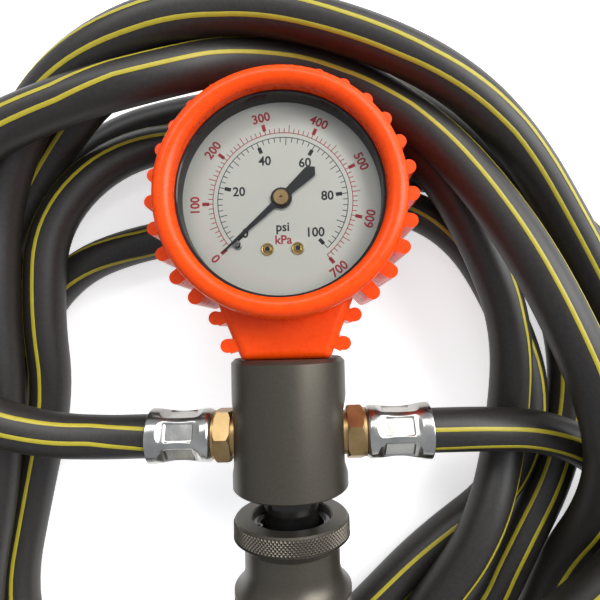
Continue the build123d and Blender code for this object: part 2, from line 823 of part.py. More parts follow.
def movement_plate(z, label, spots):
    with BuildPart() as plate:
        with BuildSketch(at_gauge(z)):
            with Locations(*spots):
                Circle(plate_edge)
            make_hull()
            with Locations((0, 0), sector_pivot):
                Circle(arbor_clear, mode=Mode.SUBTRACT)
            with Locations(*pillar_places):
                Circle(pillar_r / 2 + seat_gap, mode=Mode.SUBTRACT)
        extrude(amount=plate_t)
    save(plate.part, label)


movement_plate(back_plate_z, "movement_back_plate", plate_spots)
movement_plate(front_plate_z, "movement_front_plate", pillar_places + [sector_pivot])

with BuildPart() as movement_pillars:
    with BuildSketch(at_gauge(back_plate_z + plate_t)):
        with Locations(*pillar_places):
            Circle(pillar_r)
    extrude(amount=front_plate_z - back_plate_z - plate_t)
    with BuildSketch(at_gauge(back_plate_z)):
        with Locations(*pillar_places):
            Circle(pillar_r / 2)
    extrude(amount=front_plate_top - back_plate_z + 0.3)
save(movement_pillars.part, "movement_pillars")

# Pinion and arbor, with the pointer and its cap on the arbor's front end
pinion_z = gear_z - (pinion_t - gear_t) / 2
pointer_z = dial_z + pointer_lift
pinion_first = mesh_angle - pi
collet_z = gear_z + gear_t + 0.6
with BuildPart() as pinion:
    with BuildSketch(at_gauge(pinion_z)):
        with BuildLine():
            points = gear_ring(pinion_teeth, gear_module, 1.2 * gear_module, pinion_first, pinion_teeth)
            Polyline(*points, close=True)
        make_face()
    extrude(amount=pinion_t)
    with BuildSketch(at_gauge(back_plate_z)):
        Circle(arbor_r)
    extrude(amount=pointer_z - back_plate_z)
    with BuildSketch(at_gauge(collet_z)):
        Circle(arbor_r + 0.5)
    extrude(amount=spring_wide + 0.3)
save(pinion.part, "pinion")

needle_angle = radians(pointer_start)
needle_heading = (cos(needle_angle), sin(needle_angle), 0)
needle = Plane(origin=(0, gauge_y, pointer_z), x_dir=needle_heading, z_dir=(0, 0, 1))
with BuildPart() as pointer:
    with BuildSketch(needle):
        Polygon((pointer_reach, 0.18), (pointer_reach, -0.18), (0, -1.1), (0, 1.1), align=None)
        Polygon(
            (0, 1.0),
            (0, -1.0),
            (-pointer_tail + 2.6, -1.9),
            (-pointer_tail + 1.7, -1.9),
            (-pointer_tail, 0),
            (-pointer_tail + 1.7, 1.9),
            (-pointer_tail + 2.6, 1.9),
            align=None,
        )
        Circle(pointer_hub_r)
    extrude(amount=pointer_t)
save(pointer.part, "pointer")

with BuildPart() as pointer_cap:
    with BuildSketch(at_gauge(pointer_z + pointer_t)):
        Circle(pointer_cap_r)
    extrude(amount=pointer_cap_high)
    chamfer(pointer_cap.faces().sort_by(Axis.Z)[-1].edges(), 0.35)
    with BuildSketch(at_gauge(pointer_z + pointer_t + pointer_cap_high)):
        Circle(0.5)
    extrude(amount=-0.6, mode=Mode.SUBTRACT)
save(pointer_cap.part, "pointer_cap")

# Toothed sector with its tail, on an arbor between the plates
tooth_step = 360 / sector_teeth
sector_count = int(sector_travel / tooth_step) + spare_teeth
first_tooth = mesh_angle + radians(tooth_step * (spare_teeth - 1) / 2)
tail_angle = radians(sector_pivot_angle + 60)
tail_run = (sector_tail * cos(tail_angle), sector_tail * sin(tail_angle))
tail_spot = (sector_pivot[0] + tail_run[0], sector_pivot[1] + tail_run[1])
sector_plane = Plane((sector_pivot[0], gauge_y + sector_pivot[1], gear_z))
rim_r = gear_module * sector_teeth / 2 - 1.2 * gear_module
with BuildPart() as sector_gear:
    with BuildSketch(sector_plane):
        with BuildLine():
            points = gear_ring(
                sector_teeth, gear_module, 1.2 * gear_module,
                first_tooth - radians(tooth_step * (sector_count - 1)), sector_count,
            )
            Polyline(*points, (0, 0), close=True)
        make_face()
        with BuildLine():
            CenterArc((0, 0), rim_r - 2.4, 0, 360)
        make_face(mode=Mode.SUBTRACT)
        with Locations((0, 0)):
            Circle(sector_boss_r)
        arm_angle = (first_tooth + first_tooth - radians(tooth_step * (sector_count - 1))) / 2
        with PolarLocations(0, 1, start_angle=degrees(arm_angle)):
            with Locations((rim_r / 2 - 0.6, 0)):
                Rectangle(rim_r - 1.2, 3.0)
        with PolarLocations(0, 1, start_angle=degrees(tail_angle)):
            with Locations((sector_tail / 2, 0)):
                SlotCenterToCenter(sector_tail, 2.4)
            with Locations((sector_tail, 0)):
                Circle(link_pin_r + running_fit, mode=Mode.SUBTRACT)
    extrude(amount=gear_t)
    with BuildSketch(sector_plane.offset(back_plate_z - gear_z)):
        Circle(arbor_r)
    extrude(amount=front_plate_top - back_plate_z)
save(sector_gear.part, "sector_gear")

# Link from the sector's tail to the tip of the curved tube
tip_angle = radians(tube_end_angle)
tip_spot = ((tube_r - tip_reach_in) * cos(tip_angle), (tube_r - tip_reach_in) * sin(tip_angle))
link_z = gear_z - gap_between_bodies - link_t
link_run = (tip_spot[0] - tail_spot[0], tip_spot[1] - tail_spot[1])
link_length = sqrt(link_run[0] ** 2 + link_run[1] ** 2)
link_plane = Plane(
    origin=(tail_spot[0], gauge_y + tail_spot[1], link_z),
    x_dir=(link_run[0], link_run[1], 0),
    z_dir=(0, 0, 1),
)
with BuildPart() as tip_link:
    with BuildSketch(link_plane):
        with Locations((link_length / 2, 0)):
            SlotCenterToCenter(link_length, 2.2)
    extrude(amount=link_t)
    with BuildSketch(link_plane):
        Circle(link_pin_r)
    extrude(amount=link_t + gap_between_bodies + gear_t + 0.4)
save(tip_link.part, "tip_link")

# Curved pressure tube: a flattened tube round the movement, soldered into the block
with BuildPart() as bourdon_tube:
    with BuildSketch(gauge_radial(tube_start_angle)):
        with Locations((tube_r, tube_z)):
            SlotOverall(tube_wide, tube_thick, rotation=90)
            hollow = (tube_wide - 2 * tube_wall, tube_thick - 2 * tube_wall)
            SlotOverall(*hollow, rotation=90, mode=Mode.SUBTRACT)
    revolve(axis=gauge_axis, revolution_arc=tube_end_angle - tube_start_angle)
save(bourdon_tube.part, "bourdon_tube")

# End piece on the tube, with a tab under the link
tip_plane = Plane(origin=(0, gauge_y, 0), x_dir=(cos(tip_angle), sin(tip_angle), 0), z_dir=(0, 0, 1))
tab_z = link_z - gap_between_bodies - 1.0
tube_top = tube_z + tube_wide / 2
with BuildPart() as tube_tip:
    with BuildSketch(tip_plane.offset(tube_z - tube_wide / 2)):
        with Locations((tube_r, 1.0)):
            Rectangle(tube_thick + 1.0, 2.0)
    extrude(amount=tab_z + 1.0 - tube_z + tube_wide / 2)
    with BuildSketch(tip_plane.offset(tab_z)):
        with Locations(((2 * tube_r - tip_reach_in) / 2, 0.5)):
            Rectangle(tip_reach_in + 2.0, 3.0)
    extrude(amount=1.0)
save(tube_tip.part, "tube_tip")

# Hair spring: a flat spiral from the collet on the pinion's arbor to a pillar
spring_z = collet_z + 0.1
spring_start_r = arbor_r + 0.5 + 0.25
spring_points = []
for step in range(spring_turns * 8 + 1):
    turn = 2 * pi * step / 8
    r = spring_start_r + spring_pitch * step / 8
    spring_points.append((r * cos(turn), r * sin(turn)))
with BuildPart() as hair_spring:
    with BuildSketch(at_gauge(spring_z)):
        with BuildLine():
            Spline(*spring_points)
        trace(line_width=spring_thick)
    extrude(amount=spring_wide)
save(hair_spring.part, "hair_spring")

# Rubber boot: a cup with a half-round rim over the case, grip nubs all round, and a tapering neck
boot_inner_r = case_r + seat_gap
boot_r = boot_inner_r + boot_wall
boot_floor_z = case_back_z - seat_gap
boot_seat_z = case_front_z + seat_gap
rim_in = boot_inner_r - rim_overhang
rim_mid_r = rim_in + rim_half
nub_ring_r = boot_r + nub_out
boot_back_opening_r = boot_r - boot_back_lip
neck_bottom_y = body_top + seat_gap
neck_top_y = gauge_y - case_r + neck_top_in
neck_slope = (neck_top_half - neck_bottom_half) / (neck_top_y - neck_bottom_y)
nub_angles = [360 / nub_count * step for step in range(nub_count)]
nub_angles = [angle for angle in nub_angles if abs(angle - 270) > neck_half_angle]

with BuildPart() as gauge_boot:
    # Neck, with its side edges rounded
    with BuildSketch(Plane((0, 0, -neck_front_z))):
        Polygon(
            (-neck_bottom_half, neck_bottom_y),
            (neck_bottom_half, neck_bottom_y),
            (neck_top_half, neck_top_y),
            (neck_top_half, gauge_y),
            (-neck_top_half, gauge_y),
            (-neck_top_half, neck_top_y),
            align=None,
        )
    extrude(amount=2 * neck_front_z)
    fillet(gauge_boot.edges().filter_by(Axis.Z).group_by(Axis.Y)[0], neck_corner)
    long_edges = gauge_boot.faces().filter_by(Axis.Z).edges()
    fillet(long_edges.filter_by_position(Axis.Y, neck_bottom_y + 0.2, gauge_y - 2.0), neck_side_edge)
    # Neck nubs, two on each slanting side
    with BuildSketch(Plane((0, 0, nub_back_z + 1.0))):
        for side in (-1, 1):
            for run in neck_nub_places:
                x = neck_top_half - neck_slope * run
                with Locations((side * (x + neck_nub_offset), neck_top_y - run)):
                    Circle(nub_r)
                with Locations((side * (x - 1.0), neck_top_y - run + 0.6)):
                    Rectangle(2 * neck_nub_offset + 2.0, 1.8 * nub_r, rotation=-side * neck_nub_tilt)
    extrude(amount=neck_nub_front_z - nub_back_z - 1.0)
    with BuildSketch(at_gauge(boot_back_z)):
        Circle(boot_r)
    extrude(amount=rim_z - boot_back_z)
    with BuildSketch(at_gauge(nub_back_z)):
        for angle in nub_angles:
            with PolarLocations(0, 1, start_angle=angle):
                with Locations((nub_ring_r, 0)):
                    Circle(nub_r)
                with Locations(((boot_r + nub_ring_r) / 2 - 0.6, 0)):
                    Rectangle(nub_ring_r - boot_r + 1.2, 2 * nub_r)
    extrude(amount=nub_front_z - nub_back_z)
    with BuildSketch(gauge_section):
        with Locations((rim_mid_r, rim_z)):
            Circle(rim_half)
    revolve(axis=gauge_axis)
    # Room for the case, its open front and the hole in the back
    with BuildSketch(at_gauge(boot_floor_z)):
        Circle(boot_inner_r)
    extrude(amount=boot_seat_z - boot_floor_z, mode=Mode.SUBTRACT)
    with BuildSketch(at_gauge(boot_seat_z)):
        Circle(rim_in + 0.3)
    extrude(amount=rim_half + 3.0, mode=Mode.SUBTRACT)
    with BuildSketch(at_gauge(boot_back_z)):
        Circle(boot_back_opening_r)
    extrude(amount=boot_floor_z - boot_back_z, mode=Mode.SUBTRACT)
    with BuildSketch(across(body_top)):
        Circle(neck_hollow_r)
    extrude(amount=gauge_y - case_r / 2 - body_top, mode=Mode.SUBTRACT)
save(gauge_boot.part, "gauge_boot")

# Tyre chuck, built along +X from the hose's ferrule to the valve's mouth, with the lever on top.
# Its pieces are made once here, and set on each hose's end below.
chuck_section = Plane.XY
chuck_axis = Axis.X
mouth_x = chuck_len - chuck_mouth_depth
seal_x = mouth_x - chuck_seal_t
seal_r = chuck_mouth_r + 2.0
depressor_x = seal_x - 3.0
pivot_x = chuck_len - lever_pivot_back
ear_in = lever_t / 2 + gap_between_bodies
ear_out = ear_in + 2.2
hook_x = chuck_len - 3.6
ear_r = 3.4


def chuck_ring(x):
    return Plane(origin=(x, 0, 0), x_dir=(0, 1, 0), z_dir=(1, 0, 0))


with BuildPart() as chuck_body:
    with BuildSketch():
        with BuildLine():
            Polyline(
                (0, 0),
                (fitting_flange_r, 0),
                (fitting_flange_r, fitting_flange_len),
                (chuck_neck_r + 0.6, fitting_flange_len),
                (chuck_neck_r + 0.6, 5.0),
                (chuck_r, 7.0),
                (chuck_r, chuck_len - 1.2),
                (chuck_r - 1.2, chuck_len),
                (0, chuck_len),
                close=True,
            )
        make_face()
    revolve(axis=Axis.Y)
chuck_turned = Plane(origin=(0, 0, 0), x_dir=(0, -1, 0), z_dir=(0, 0, 1)).location * chuck_body.part

with BuildPart() as chuck_body:
    add(chuck_turned)
    barbed_tail(Plane(origin=(0, 0, 0), x_dir=(0, 1, 0), z_dir=(0, 0, 1)), 0.0, Axis.X)
    for ear_side in (-1, 1):
        with BuildSketch(Plane.XZ.offset(-ear_side * (ear_in + ear_out) / 2)):
            with Locations((pivot_x, lever_pivot_high)):
                Circle(ear_r)
            with Locations((pivot_x, lever_pivot_high / 2 + 2.0)):
                Rectangle(2 * ear_r, lever_pivot_high - 4.0)
        extrude(amount=(ear_out - ear_in) / 2, both=True)
    with BuildSketch(chuck_ring(mouth_x)):
        Circle(chuck_mouth_r)
    extrude(amount=chuck_mouth_depth, mode=Mode.SUBTRACT)
    with BuildSketch(chuck_ring(seal_x)):
        Circle(seal_r + seat_gap)
    extrude(amount=chuck_seal_t, mode=Mode.SUBTRACT)
    with BuildSketch(chuck_ring(depressor_x)):
        Circle(chuck_mouth_r)
    extrude(amount=seal_x - depressor_x, mode=Mode.SUBTRACT)
    with BuildSketch(chuck_ring(-barb_count * barb_pitch - 4.0)):
        Circle(chuck_bore_r)
    extrude(amount=barb_count * barb_pitch + 4.0 + depressor_x, mode=Mode.SUBTRACT)
    with BuildSketch(Plane((hook_x, 0, chuck_mouth_r * 0.6))):
        Rectangle(hook_slot_len, chuck_slot_wide)
    extrude(amount=chuck_r, mode=Mode.SUBTRACT)
    with BuildSketch(Plane((pivot_x, 0, lever_pivot_high - lever_hub_r - 0.5))):
        Rectangle(2 * lever_hub_r + 1.0, chuck_slot_wide)
    extrude(amount=chuck_r, mode=Mode.SUBTRACT)
    with BuildSketch(Plane.XZ):
        with Locations((pivot_x, lever_pivot_high)):
            Circle(lever_pin_r + seat_gap)
    extrude(amount=ear_out + 1.0, both=True, mode=Mode.SUBTRACT)

with BuildPart() as chuck_seal:
    with BuildSketch(chuck_ring(seal_x)):
        Circle(seal_r)
        Circle(chuck_mouth_r - 1.2, mode=Mode.SUBTRACT)
    extrude(amount=chuck_seal_t - seat_gap)

with BuildPart() as valve_depressor:
    with BuildSketch(chuck_ring(depressor_x)):
        Circle(chuck_mouth_r - seat_gap)
        with PolarLocations(2.6, 3):
            Circle(0.9, mode=Mode.SUBTRACT)
    extrude(amount=1.2)
    with BuildSketch(chuck_ring(depressor_x)):
        Circle(1.0)
    extrude(amount=seal_x - depressor_x + chuck_seal_t * 0.6)

with BuildPart() as lever_pin:
    with BuildSketch(Plane.XZ):
        with Locations((pivot_x, lever_pivot_high)):
            Circle(lever_pin_r)
    extrude(amount=ear_out + 0.5, both=True)

# Lever: a bent strip with a hook in the body's slot and a thumb plate over the ferrule
thumb_x = -9.0
thumb_z = 19.0
strip_t = 2.2
hook_low = chuck_mouth_r + 1.0
with BuildPart() as chuck_lever:
    with BuildSketch(Plane.XZ):
        with BuildLine():
            Polyline(
                (hook_x, hook_low),
                (hook_x, lever_pivot_high),
                (pivot_x, lever_pivot_high + 1.4),
                (pivot_x - 10.0, lever_pivot_high + 3.0),
                (thumb_x, thumb_z),
            )
        trace(line_width=strip_t)
        with Locations((pivot_x, lever_pivot_high)):
            Circle(lever_hub_r)
            Circle(lever_pin_r + running_fit, mode=Mode.SUBTRACT)
    extrude(amount=lever_t / 2, both=True)
    thumb_mid = (thumb_x + 6.0, 0, thumb_z - 1.3)
    with BuildSketch(Plane(origin=thumb_mid, x_dir=(15.0, 0, -4.4), z_dir=(4.4, 0, 15.0))):
        RectangleRounded(13.0, 11.0, 2.5)
    extrude(amount=strip_t / 2, both=True)

# Leaf spring under the lever's thumb end
leaf_t = 0.5
with BuildPart() as lever_spring:
    with BuildSketch(Plane.XZ):
        with BuildLine():
            Polyline((pivot_x - 5.0, chuck_r + leaf_t / 2), (9.5, chuck_r + leaf_t / 2), (2.0, 14.4))
        trace(line_width=leaf_t)
    extrude(amount=lever_t / 2, both=True)

# Where the two chucks lie: on the lower turns, outside the ring of the tall ones
chuck_height = coil_top_of_lower + ferrule_mouth_r + coil_clear
chuck_places = {
    "left": Plane(origin=(-62.2, 2.1, chuck_height), x_dir=(-0.98, 0.2, 0), z_dir=(0, 0, 1)),
    "right": Plane(origin=(100.0, 12.0, chuck_height), x_dir=(-0.574, -0.819, 0), z_dir=(0, 0, 1)),
}
end_routes = {
    "left": [
        (28.0, 22.0, -25.5),
        (14.0, 10.5, -23.5),
        (2.4, 2.8, -20.0),
        (-10.6, -2.1, -15.5),
        (-24.4, -4.0, -11.8),
    ],
    "right": [
        (125.2, 149.3, -26.0),
        (135.8, 120.2, -20.2),
        (139.2, 89.4, -14.6),
        (132.4, 58.2, chuck_height),
    ],
}
hose_in_ferrule = ferrule_len - ferrule_wall - seat_gap
ferrule_back = Plane(origin=(0, 0, 0), x_dir=(0, 1, 0), z_dir=(-1, 0, 0))
for name, place in chuck_places.items():
    save(place.location * chuck_body.part, f"{name}_chuck_body")
    save(place.location * chuck_seal.part, f"{name}_chuck_seal")
    save(place.location * valve_depressor.part, f"{name}_valve_depressor")
    save(place.location * lever_pin.part, f"{name}_lever_pin")
    save(place.location * chuck_lever.part, f"{name}_chuck_lever")
    save(place.location * lever_spring.part, f"{name}_lever_spring")
    save(place.location * (ferrule_back.location * ferrule_blank), f"{name}_end_ferrule")
    heading = place.x_dir
    mouth = place.origin - heading * ferrule_len
    with BuildPart() as hose_end:
        hose_tube(f"{name} hose end", end_routes[name] + [tuple(mouth)])
        with BuildSketch(Plane(origin=mouth, z_dir=heading)):
            Circle(squeezed_hose_r)
        extrude(amount=hose_in_ferrule)
        with BuildSketch(Plane(origin=mouth + heading * hose_in_ferrule, z_dir=heading)):
            Circle(hose_bore_r)
        extrude(amount=-(barb_count * barb_pitch + barb_start - fitting_face), mode=Mode.SUBTRACT)
    save(hose_end.part, f"{name}_hose_end")

# Coil of both hoses: a low ring of one layer that the gauge and sleeve lie over, and a tall
# ring of several layers beside them
with BuildPart() as hose_coil_lower:
    with BuildSketch(Plane.XY.offset(coil_floor_z)):
        with Locations(lower_outer[0]):
            Ellipse(*lower_outer[1])
        with Locations(lower_corner[0]):
            Circle(lower_corner[1])
        with Locations(lower_inner[0]):
            Ellipse(*lower_inner[1], mode=Mode.SUBTRACT)
    extrude(amount=coil_top_of_lower - coil_floor_z)
    fillet(hose_coil_lower.faces().filter_by(Axis.Z).edges(), coil_edge)
save(hose_coil_lower.part, "hose_coil_lower")

with BuildPart() as hose_coil_upper:
    with BuildSketch(Plane.XY.offset(coil_top_of_lower)):
        with Locations(upper_outer[0]):
            Ellipse(*upper_outer[1])
        with Locations(upper_inner[0]):
            Ellipse(*upper_inner[1], mode=Mode.SUBTRACT)
    extrude(amount=upper_height)
    fillet(hose_coil_upper.faces().sort_by(Axis.Z)[-1].edges(), coil_edge)
    ring_long = 2 * upper_outer[1][1]
    with BuildSketch(Plane.XY.offset(coil_top_of_lower)):
        with Locations((upper_outer[0][0], upper_from_y - ring_long / 2)):
            Rectangle(ring_long, ring_long)
    extrude(amount=upper_height, mode=Mode.SUBTRACT)
save(hose_coil_upper.part, "hose_coil_upper")
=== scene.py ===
import json
import math
import bmesh
import bpy
from mathutils import Matrix, Vector


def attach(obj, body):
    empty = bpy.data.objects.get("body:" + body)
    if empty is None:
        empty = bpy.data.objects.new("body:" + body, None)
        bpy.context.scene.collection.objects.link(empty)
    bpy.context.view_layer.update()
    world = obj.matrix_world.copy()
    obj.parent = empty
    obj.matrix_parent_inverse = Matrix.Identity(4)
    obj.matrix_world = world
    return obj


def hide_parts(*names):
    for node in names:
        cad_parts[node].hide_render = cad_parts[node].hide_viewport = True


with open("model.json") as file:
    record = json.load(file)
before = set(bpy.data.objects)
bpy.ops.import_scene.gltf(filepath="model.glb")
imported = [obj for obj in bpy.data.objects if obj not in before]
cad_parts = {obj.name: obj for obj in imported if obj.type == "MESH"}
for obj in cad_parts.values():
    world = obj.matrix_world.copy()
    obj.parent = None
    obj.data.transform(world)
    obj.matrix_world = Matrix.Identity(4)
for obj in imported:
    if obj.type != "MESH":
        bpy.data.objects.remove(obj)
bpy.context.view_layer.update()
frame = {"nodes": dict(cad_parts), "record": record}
nodes = frame["nodes"]
scene = bpy.context.scene
mm = 0.001
print("frame loaded,", len(nodes), "CAD nodes")


# Materials
def newMaterial(name):
    material = bpy.data.materials.new(name)
    material.use_nodes = True
    tree = material.node_tree
    tree.nodes.clear()
    output = tree.nodes.new("ShaderNodeOutputMaterial")
    shader = tree.nodes.new("ShaderNodeBsdfPrincipled")
    tree.links.new(shader.outputs[0], output.inputs[0])
    return material, tree, shader


def addNoise(tree, scale, detail=4.0):
    place = tree.nodes.new("ShaderNodeTexCoord")
    noise = tree.nodes.new("ShaderNodeTexNoise")
    noise.inputs["Scale"].default_value = scale
    noise.inputs["Detail"].default_value = detail
    tree.links.new(place.outputs["Object"], noise.inputs["Vector"])
    return noise


def addRamp(tree, source, stops):
    ramp = tree.nodes.new("ShaderNodeValToRGB")
    for element, (position, colour) in zip(ramp.color_ramp.elements, stops):
        element.position = position
        element.color = (*colour, 1)
    tree.links.new(source, ramp.inputs[0])
    return ramp


def addRange(tree, source, low, high):
    span = tree.nodes.new("ShaderNodeMapRange")
    span.inputs["To Min"].default_value = low
    span.inputs["To Max"].default_value = high
    tree.links.new(source, span.inputs["Value"])
    return span


def addBump(tree, shader, source, strength, distance):
    bump = tree.nodes.new("ShaderNodeBump")
    bump.inputs["Strength"].default_value = strength
    bump.inputs["Distance"].default_value = distance
    tree.links.new(source, bump.inputs["Height"])
    tree.links.new(bump.outputs[0], shader.inputs["Normal"])


# Each finish mottles two colours; scale is the grain, bump its strength and its height in m
finishes = {
    "body_alloy": dict(colours=((0.090, 0.080, 0.064), (0.100, 0.090, 0.072)),
                       metallic=0.75, rough=(0.36, 0.40), scale=1400, bump=(0.06, 0.00002)),
    "black_stem": dict(colours=((0.006, 0.006, 0.006), (0.012, 0.011, 0.010)),
                       metallic=0.0, rough=(0.10, 0.18), scale=120, bump=(0.05, 0.00003)),
    "seal_rubber": dict(colours=((0.012, 0.012, 0.012), (0.025, 0.024, 0.023)),
                        metallic=0.0, rough=(0.5, 0.65), scale=300, bump=(0.15, 0.00005)),
    "plated_steel": dict(colours=((0.42, 0.42, 0.42), (0.58, 0.57, 0.55)),
                         metallic=1.0, rough=(0.22, 0.36), scale=180, bump=(0.08, 0.00003)),
    "spring_steel": dict(colours=((0.20, 0.19, 0.18), (0.34, 0.32, 0.30)),
                         metallic=1.0, rough=(0.25, 0.40), scale=200, bump=(0.05, 0.00003)),
    "fitting_brass": dict(colours=((0.36, 0.24, 0.105), (0.50, 0.35, 0.17)),
                          metallic=1.0, rough=(0.32, 0.48), scale=120, bump=(0.16, 0.00005)),
    "movement_brass": dict(colours=((0.55, 0.38, 0.13), (0.72, 0.52, 0.22)),
                           metallic=1.0, rough=(0.20, 0.32), scale=200, bump=(0.05, 0.00002)),
    "zinc_plate": dict(colours=((0.42, 0.42, 0.40), (0.60, 0.59, 0.55)),
                       metallic=1.0, rough=(0.16, 0.28), scale=110, bump=(0.14, 0.00006)),
    "hose_rubber": dict(colours=((0.014, 0.0125, 0.011), (0.022, 0.019, 0.0165)),
                        metallic=0.0, rough=(0.40, 0.52), scale=900, bump=(0.15, 0.00004)),
    "boot_rubber": dict(colours=((0.88, 0.062, 0.001), (0.93, 0.072, 0.002)),
                        metallic=0.0, rough=(0.24, 0.32), scale=500, bump=(0.06, 0.00003), gloss=0.25),
    "black_case": dict(colours=((0.008, 0.008, 0.009), (0.018, 0.017, 0.017)),
                       metallic=0.0, rough=(0.08, 0.18), scale=150, bump=(0.05, 0.00002)),
    "dial_white": dict(colours=((0.91, 0.90, 0.80), (0.94, 0.93, 0.83)),
                       metallic=0.0, rough=(0.35, 0.45), scale=90, bump=(0.03, 0.00002)),
    "pointer_black": dict(colours=((0.008, 0.008, 0.008), (0.016, 0.016, 0.016)),
                          metallic=0.0, rough=(0.35, 0.5), scale=200, bump=(0.05, 0.00002)),
}
mottleEdges = (0.35, 0.65)
usualGloss = 0.5


def makeFinish(name, finish):
    material, tree, shader = newMaterial(name)
    noise = addNoise(tree, finish["scale"])
    ramp = addRamp(tree, noise.outputs[0], zip(mottleEdges, finish["colours"]))
    tree.links.new(ramp.outputs[0], shader.inputs["Base Color"])
    span = addRange(tree, noise.outputs[0], *finish["rough"])
    tree.links.new(span.outputs[0], shader.inputs["Roughness"])
    addBump(tree, shader, noise.outputs[0], *finish["bump"])
    shader.inputs["Metallic"].default_value = finish["metallic"]
    shader.inputs["Specular IOR Level"].default_value = finish.get("gloss", usualGloss)
    return material


lensLook = {"roughness": 0.03, "gloss": (0.30, 0.31, 0.32), "index": 1.45}


# Clear plastic: seen straight through, with a weak gloss that grows as it is seen at a slant
def makeLens(name):
    material = bpy.data.materials.new(name)
    material.use_nodes = True
    tree = material.node_tree
    tree.nodes.clear()
    output = tree.nodes.new("ShaderNodeOutputMaterial")
    mixer = tree.nodes.new("ShaderNodeMixShader")
    clear = tree.nodes.new("ShaderNodeBsdfTransparent")
    gloss = tree.nodes.new("ShaderNodeBsdfGlossy")
    gloss.inputs["Roughness"].default_value = lensLook["roughness"]
    gloss.inputs["Color"].default_value = (*lensLook["gloss"], 1)
    fresnel = tree.nodes.new("ShaderNodeFresnel")
    fresnel.inputs["IOR"].default_value = lensLook["index"]
    tree.links.new(fresnel.outputs[0], mixer.inputs[0])
    tree.links.new(clear.outputs[0], mixer.inputs[1])
    tree.links.new(gloss.outputs[0], mixer.inputs[2])
    tree.links.new(mixer.outputs[0], output.inputs[0])
    return material


# Paint or print, with a faint mottle so that it isn't one flat colour
def plainMaterial(name, colour, roughness, grain=400, shade=0.88):
    material, tree, shader = newMaterial(name)
    noise = addNoise(tree, grain)
    darker = tuple(shade * channel for channel in colour)
    ramp = addRamp(tree, noise.outputs[0], ((0.3, darker), (0.7, colour)))
    tree.links.new(ramp.outputs[0], shader.inputs["Base Color"])
    shader.inputs["Roughness"].default_value = roughness
    return material


materials = {name: makeFinish(name, finish) for name, finish in finishes.items()}
materials["clear_lens"] = makeLens("clear_lens")
materials["black_steel"] = materials["black_stem"].copy()
materials["black_steel"].name = "black_steel"
print("materials made")

slotOf = {row["node"]: row["material_slot"] for row in frame["record"]["subparts"]}
for nodeName, node in nodes.items():
    node.data.materials.clear()
    node.data.materials.append(materials[slotOf[nodeName]])
nodes["sleeve_circlip"].data.materials[0] = materials["black_steel"]  # the ring inside the collar
print("CAD nodes dressed")


def addPiece(name, vertices, faces, material, body, smooth=True):
    mesh = bpy.data.meshes.new(name)
    mesh.from_pydata([tuple(v) for v in vertices], [], faces)
    mesh.validate()
    mesh.materials.append(material)
    for polygon in mesh.polygons:
        polygon.use_smooth = smooth
    piece = bpy.data.objects.new(name, mesh)
    scene.collection.objects.link(piece)
    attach(piece, body)
    return piece


